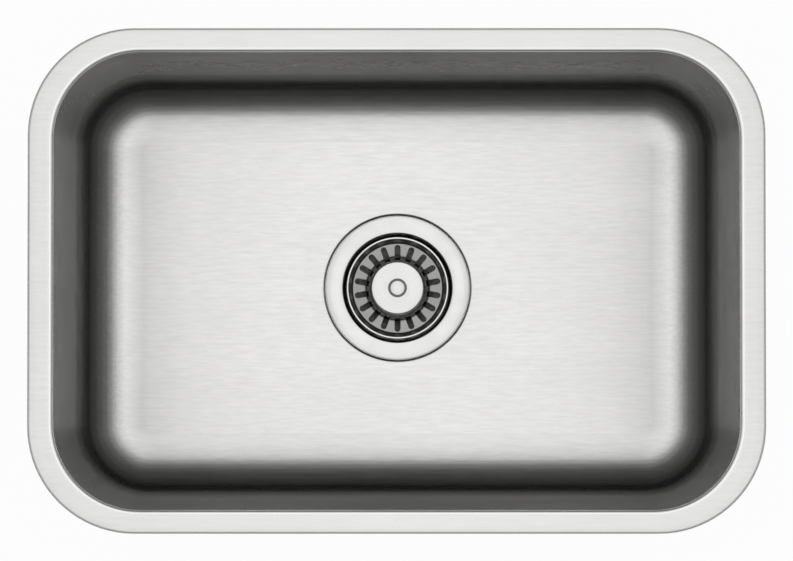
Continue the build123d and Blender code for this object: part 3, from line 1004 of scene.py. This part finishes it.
def build_basket():
    """The basket's slotted sheet and, on its upper edge, the rolled bead."""
    post_bore = POST_NECK_RADIUS + BORE_CLEARANCE
    bead_radius, floor_z, bead_top = span("basket")
    bead_z = bead_top - BEAD_RADIUS
    bead_centre = bead_radius - BEAD_RADIUS
    well_floor = floor_z + BASKET_SHEET
    cone_top = (bead_centre - BASKET_WALL_WIDTH, bead_top - CONE_TOP_DROP)
    line = [
        (bead_centre, bead_z),
        cone_top,
        (WELL_RADIUS, cone_top[1] - CONE_FALL),
        (WELL_FOOT_RADIUS, well_floor),
        (post_bore, well_floor),
    ]
    smooth_line = rounded(line, BASKET_BENDS)
    dense = []
    for first, second in zip(smooth_line, smooth_line[1:]):
        pieces = max(1, round((Vector(second) - Vector(first)).length / BASKET_STEP))
        dense += [tuple(Vector(first).lerp(Vector(second), i / pieces)) for i in range(pieces)]
    curve = Curve(dense + [smooth_line[-1]])
    slot_start = curve.length_at(0, cone_top[0] - SLOT_MARGIN)
    slot_end = curve.length_at(1, well_floor + SLOT_FOOT)
    rows = slot_rows(curve, slot_start, slot_end)

    vertices, faces = [], []
    half_sector = math.pi / SLOT_COUNT

    def place(sector, length, sideways, depth, spread=0.0):
        """A vertex at a length along the profile, beside a slot's middle and in the sheet. The
        spread moves it on from the slot's edge, 0, to the middle between two slots, 1."""
        angle, side = sector
        point, normal = curve.at(length)
        radius, height = point.x - normal.x * depth, point.y - normal.y * depth
        edge = math.asin(sideways / point.x)
        turn = angle + math.copysign(edge + (half_sector - edge) * spread, side)
        vertices.append((radius * math.cos(turn), radius * math.sin(turn), height))
        return len(vertices) - 1

    columns = range(SECTOR_COLUMNS)
    shares = [j / SECTOR_COLUMNS for j in range(SECTOR_COLUMNS + 1)]
    sectors = [
        (math.pi / 2 + 2 * half_sector * number, side)
        for number in range(SLOT_COUNT)
        for side in (1, -1)
    ]
    for sector in sectors:
        top, foot, upper, lower = [], [], [], []
        for (length, width), inner in rows:
            top.append([place(sector, length, width, 0.0, share) for share in shares])
            foot.append([place(sector, length, width, BASKET_SHEET, share) for share in shares])
            upper.append(inner and place(sector, *inner, SLOT_EDGE))
            lower.append(inner and place(sector, *inner, BASKET_SHEET - SLOT_EDGE))
        for i in range(len(rows) - 1):
            for j in columns:
                for face in (top, foot):
                    here, after = face[i], face[i + 1]
                    faces.append((here[j], here[j + 1], after[j + 1], after[j]))
            if rows[i][1] and rows[i + 1][1]:
                edges = (
                    (top[i][0], top[i + 1][0]),
                    (upper[i], upper[i + 1]),
                    (lower[i], lower[i + 1]),
                    (foot[i][0], foot[i + 1][0]),
                )
                for (a, b), (c, d) in zip(edges, edges[1:]):
                    faces.append((a, b, d, c))
        for i in (0, -1):
            for j in columns:
                faces.append((top[i][j], top[i][j + 1], foot[i][j + 1], foot[i][j]))

    def in_well(middle):
        """1, the well's steel, below the cone."""
        return int(middle.z < cone_top[1] - WELL_TOP_DROP)

    sheet_piece = new_object("basket_pressed", vertices, faces)
    clean_mesh(sheet_piece, BASKET_WELD, in_well)
    steels = (BASKET_SHEET_STEEL_PAINTED_SHADE, BASKET_WELL_STEEL_PAINTED_SHADE)
    dress(sheet_piece, "basket", "basket", "basket_steel", *steels, angle=40.0)

    circle = arc((bead_centre, bead_z), BEAD_RADIUS, 0, 360, BEAD_STEPS)[:-1]
    bead = turned("basket_bead", circle, WIDE_STEPS)
    dress(bead, "basket", "basket", "basket_steel", BEAD_STEEL, angle=60.0)


# -------------------------------- cap, rivet and post
def build_cap():
    """The hollow cap and its rivet, with a groove between them painted dark as shade."""
    radius, foot, top = span("basket_knob")
    rivet_radius, rivet_foot, _ = span("knob_rivet")
    groove_radius = rivet_radius + GROOVE_WIDTH
    groove_floor = top - RIVET_HEAD
    outline = [
        (groove_radius, top),
        (groove_radius, groove_floor),
        (rivet_radius, groove_floor),
        (RIVET_SHANK, groove_floor),
        (RIVET_SHANK, top - KNOB_SHEET),
        (radius - KNOB_SHEET, top - KNOB_SHEET),
        (radius - KNOB_SHEET, foot),
        (radius, foot),
        (radius, top),
    ]
    radii = mm(0.35, 0.3, 0, 0.1, 0.1, 0.8, 0.5, 0.6, 0.9)

    def in_groove_shade(place_radius, height):
        """1, the dark steel of painted shade, inside the groove between the cap and its rivet."""
        inner, outer = rivet_radius - GROOVE_SHADE_OVER_RIVET, groove_radius + GROOVE_SHADE_OVER_CAP
        return int(inner < place_radius < outer and height < top - GROOVE_SHADE_DROP)

    section = rounded_loop(outline, radii, 6)
    cap = turned("basket_knob_turned", section, TURNED_STEPS, in_groove_shade)
    dress(cap, "basket_knob", "basket", "knob_steel", KNOB_STEEL, GROOVE_PAINTED_SHADE)

    outline = [
        (0.0, rivet_foot),
        (RIVET_SHANK - BORE_CLEARANCE, rivet_foot),
        (RIVET_SHANK - BORE_CLEARANCE, top - RIVET_HEAD),
        (rivet_radius, top - RIVET_HEAD),
        (rivet_radius, top),
        (0.0, top),
    ]
    radii = mm(0, 0.4, 0.1, 0.1, 0.45, 0)
    section = rounded_loop(outline, radii)
    rivet = turned("knob_rivet_turned", section, NARROW_STEPS, in_groove_shade)
    dress(rivet, "knob_rivet", "basket", "knob_steel", KNOB_STEEL, GROOVE_PAINTED_SHADE)


def build_post():
    """The post that joins the basket, its seal and the cap, down to the spring clip."""
    head_radius, foot, top = span("basket_post")
    seal_foot = span("basket_seal")[1]
    well_floor = span("basket")[1] + BASKET_SHEET
    outline = [
        (0.0, foot),
        (CLIP_BORE, foot),
        (CLIP_BORE, seal_foot),
        (POST_NECK_RADIUS, seal_foot),
        (POST_NECK_RADIUS, well_floor),
        (COLLAR_RADIUS, well_floor),
        (COLLAR_RADIUS, well_floor + COLLAR_HEIGHT),
        (POST_RADIUS, well_floor + COLLAR_HEIGHT),
        (POST_RADIUS, top - POST_HEAD_HEIGHT),
        (head_radius, top - POST_HEAD_HEIGHT),
        (head_radius, top),
        (0.0, top),
    ]
    radii = mm(0, 0.4, 0.1, 0.1, 0.1, 0.1, 0.6, 0.5, 0.5, 0.4, 0.1, 0)
    post = turned("basket_post_turned", rounded_loop(outline, radii), NARROW_STEPS)
    dress(post, "basket_post", "basket", "basket_steel", BASKET_STEEL)


# -------------------------------- basket seal and tailpiece
def build_basket_seal():
    """The rubber plug under the basket, with a shallow groove around its rim."""
    radius, foot, top = span("basket_seal")
    bore = POST_NECK_RADIUS + BORE_CLEARANCE
    edge_foot = top - SEAL_EDGE
    groove_foot = edge_foot + SEAL_GROOVE_FOOT
    outline = [
        (bore, foot),
        (OUTLET_RADIUS + SEAL_FOOT_MARGIN, foot),
        (radius, edge_foot),
        (radius, groove_foot),
        (radius - SEAL_GROOVE_DEPTH, groove_foot + SEAL_GROOVE_PITCH),
        (radius, groove_foot + 2 * SEAL_GROOVE_PITCH),
        (radius, top),
        (bore, top),
    ]
    radii = mm(0.1, 0.9, 0.8, 0.12, 0.12, 0.12, 0.7, 0.1)
    seal = turned("basket_seal_moulded", rounded_loop(outline, radii))
    dress(seal, "basket_seal", "seal", "seal_rubber", RUBBER)


def build_tailpiece():
    """The drawn tube, with the flange by which the coupling nut holds it."""
    flange_radius, foot, top = span("tailpiece")
    bore = TUBE_RADIUS - TUBE_WALL
    line = [(flange_radius, top), (bore, top), (bore, foot)]
    section = pressed(line, [TUBE_BEND], TUBE_WALL, TUBE_EDGE)
    tube = turned("tailpiece_drawn", section)
    dress(tube, "tailpiece", "sink", "tube_chrome", CHROME)


# -------------------------------- floor, world, light, camera
WHITE = (1.0, 1.0, 1.0, 1.0)
FLOOR_HALF = 14.0
FLOOR_GAP = 0.5 * MM
FLOOR_GLOW = 0.95
LAMP_PLACE = (0.0, 0.1, 2.2)
LAMP_SIZE = (0.7, 1.2)
LAMP_RADIANCE = 0.35
CAMERA_PLACE = Vector((0.014, -0.104, 3.46))
SENSOR_WIDTH = 36.0
# the width that the picture spans at the origin, where the camera looks
PICTURE_WIDTH = 0.5902

# brightness of the studio by the sine of the elevation
SKY = ((0.0, 0.16), (0.2, 0.18), (0.5, 0.46), (0.73, 0.92), (0.84, 1.02))


def build_floor():
    """A floor just under the part that looks white to the camera and in reflections."""
    floor_z = cad_bounds[0][2] - FLOOR_GAP
    half = FLOOR_HALF
    sides = ((-half, -half), (half, -half), (half, half), (-half, half))
    corners = [(x, y, floor_z) for x, y in sides]
    floor = new_object("studio_floor", corners, [(0, 1, 2, 3)])
    shader = Shader("studio_floor_white")
    colour = shader.tint((0.93, 0.93, 0.93), 0.01, shader.noise(3.0, 2.0))
    shader.set(Base_Color=colour, Roughness=0.9)
    glow = shader.add("ShaderNodeEmission", {"Color": WHITE, "Strength": 1.0}).outputs[0]
    path = shader.add("ShaderNodeLightPath").outputs
    seen = shader.math("MAXIMUM", path["Is Camera Ray"], path["Is Glossy Ray"])
    share = shader.math("MULTIPLY", seen, FLOOR_GLOW)
    inputs = {0: share, 1: shader.principled.outputs[0], 2: glow}
    blend = shader.add("ShaderNodeMixShader", inputs)
    shader.give(shader.output, {"Surface": blend.outputs[0]})
    floor.data.materials.append(shader.material)


def build_world():
    """White where the camera looks; elsewhere a soft overhead light that fades to the sides."""
    world = bpy.data.worlds.new("studio_world")
    bpy.context.scene.world = world
    sky = NodeTree(world)
    height = sky.split(sky.add("ShaderNodeTexCoord").outputs["Generated"])[2]
    seen = sky.add("ShaderNodeLightPath").outputs["Is Camera Ray"]
    colour = sky.mix(seen, sky.ramp(height, SKY), WHITE)
    light = sky.add("ShaderNodeBackground", {"Color": colour}).outputs[0]
    sky.add("ShaderNodeOutputWorld", {"Surface": light})


def build_lamp():
    """A soft box overhead, which the camera doesn't see."""
    light = bpy.data.lights.new("softbox", "AREA")
    light.shape = "RECTANGLE"
    light.size, light.size_y = LAMP_SIZE
    light.energy = math.pi * LAMP_SIZE[0] * LAMP_SIZE[1] * LAMP_RADIANCE
    lamp = bpy.data.objects.new("softbox", light)
    lamp.location = LAMP_PLACE
    lamp.visible_camera = False
    bpy.context.scene.collection.objects.link(lamp)


def build_camera():
    """The photograph's camera, which looks down from a little in front of the middle."""
    view = bpy.data.cameras.new("camera")
    view.sensor_width = SENSOR_WIDTH
    view.lens = SENSOR_WIDTH * CAMERA_PLACE.length / PICTURE_WIDTH
    view.clip_end = 100.0
    camera = bpy.data.objects.new("camera", view)
    camera.location = CAMERA_PLACE
    # the picture's upright follows +Y
    backwards = CAMERA_PLACE.normalized()
    right = Vector((0.0, 1.0, 0.0)).cross(backwards).normalized()
    axes = Matrix((right, backwards.cross(right), backwards)).transposed()
    camera.rotation_euler = axes.to_euler()
    bpy.context.scene.collection.objects.link(camera)
    bpy.context.scene.camera = camera


# -------------------------------- the whole scene
build_bowl()
build_strainer()
build_basket()
build_cap()
build_post()
build_basket_seal()
build_tailpiece()

cup_bore = CUP_RADIUS + SHEET + GASKET_CLEARANCE
washer_bore = TUBE_RADIUS - WASHER_GRIP
ring("flange_seal", "sink", "seal_rubber", RUBBER, cup_bore, 0.4 * MM)
ring("under_gasket", "sink", "seal_rubber", RUBBER, cup_bore, 0.9 * MM)
ring("friction_ring", "sink", "friction_plastic", FIBRE, cup_bore, 0.3 * MM)
ring("tailpiece_washer", "sink", "seal_rubber", RUBBER, washer_bore, 0.5 * MM)
ring("seal_washer", "seal", "basket_steel", BASKET_STEEL, CLIP_BORE + BORE_CLEARANCE, 0.25 * MM)
softened("lock_nut", "sink", "nut_brass", BRASS, 0.5 * MM)
softened("coupling_nut", "sink", "tube_chrome", CHROME, 0.35 * MM)
softened("outlet_cross", "sink", "strainer_steel", CUP_STEEL_PAINTED_SHADE, 0.25 * MM)
softened("post_clip", "basket", "basket_steel", BASKET_STEEL, 0.12 * MM, segments=2)
for name in nodes:
    if "pad" in name:
        softened(name, "sink", "pad_rubber", PAD_RUBBER, 0.35 * MM)

build_floor()
build_world()
build_lamp()
build_camera()
bpy.context.scene.view_settings.view_transform = "Standard"
